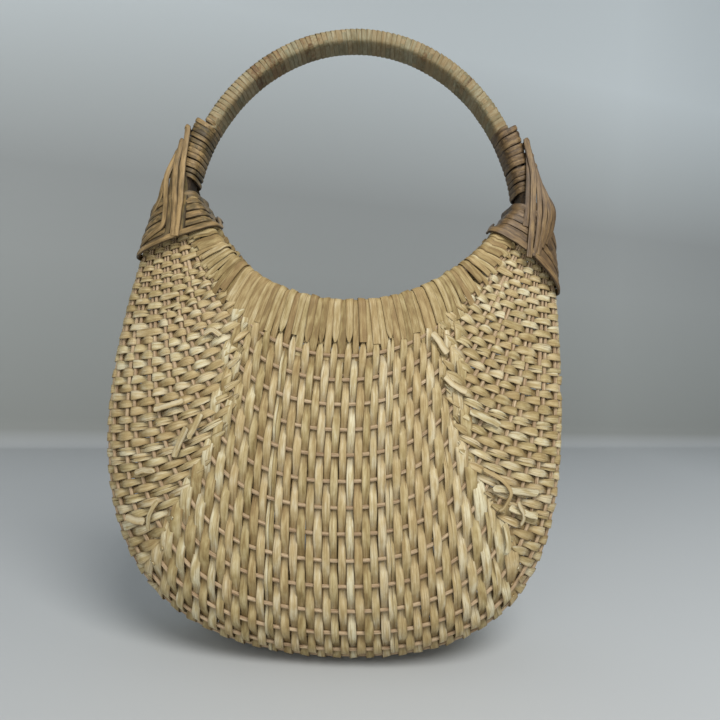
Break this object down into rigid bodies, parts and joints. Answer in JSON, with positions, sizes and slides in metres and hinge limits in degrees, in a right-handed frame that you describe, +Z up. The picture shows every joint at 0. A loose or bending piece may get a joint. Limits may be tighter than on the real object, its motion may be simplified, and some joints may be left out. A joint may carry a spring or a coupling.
{
  "type": "rattan bag",
  "caption": "Round-bellied handbag of flat woven strips on thin ribs, with a wrapped hoop handle lashed between two ears.",
  "frame": {"origin": "on the ground under the middle of the bag", "axes": "+Z up through the top of the handle, +X to the right ear seen from the front, +Y to the back, so the thin way through the bag"},
  "size_m": [0.2802, 0.1262, 0.3829],
  "materials": {
    "woven_strip": "dry matt flat strips of pale peeled rattan",
    "rib": "dry matt thin round rattan, pinkish tan",
    "rattan_rod": "dry matt round rattan rod",
    "wrapping_strip": "satin flat strips of pale rattan skin",
    "left_cane": "satin cane, tan with olive patches",
    "right_cane": "satin cane, brown"
  },
  "bodies": {
    "root": {"rib_01": "rib", "rib_02": "rib", "rib_03": "rib", "rib_04": "rib", "rib_05": "rib", "rib_06": "rib", "rib_07": "rib", "rib_08": "rib", "rib_09": "rib", "rib_10": "rib", "rib_11": "rib", "rib_12": "rib", "rib_13": "rib", "rib_14": "rib", "rib_15": "rib", "rib_16": "rib", "rib_17": "rib", "rib_18": "rib", "rib_19": "rib", "rib_20": "rib", "rib_21": "rib", "rib_22": "rib", "rib_23": "rib", "rib_24": "rib", "rib_25": "rib", "rib_26": "rib", "rib_27": "rib", "rib_28": "rib", "rib_29": "rib", "rib_30": "rib", "rib_31": "rib", "centre_weave": "woven_strip", "left_side_weave": "woven_strip", "right_side_weave": "woven_strip", "front_rim_binding": "woven_strip", "back_rim_binding": "woven_strip", "front_rim_rod": "rattan_rod", "back_rim_rod": "rattan_rod", "handle_core": "rattan_rod", "left_handle_wrap": "wrapping_strip", "right_handle_wrap": "wrapping_strip", "left_handle_lashing": "left_cane", "left_ear_lashing": "left_cane", "right_handle_lashing": "right_cane", "right_ear_lashing": "right_cane", "left_ear_strut_1": "left_cane", "left_ear_strut_2": "left_cane", "left_ear_strut_3": "left_cane", "left_ear_strut_4": "left_cane", "left_ear_strut_5": "left_cane", "right_ear_strut_1": "right_cane", "right_ear_strut_2": "right_cane", "right_ear_strut_3": "right_cane", "right_ear_strut_4": "right_cane", "right_ear_strut_5": "right_cane"}
  },
  "joints": []
}
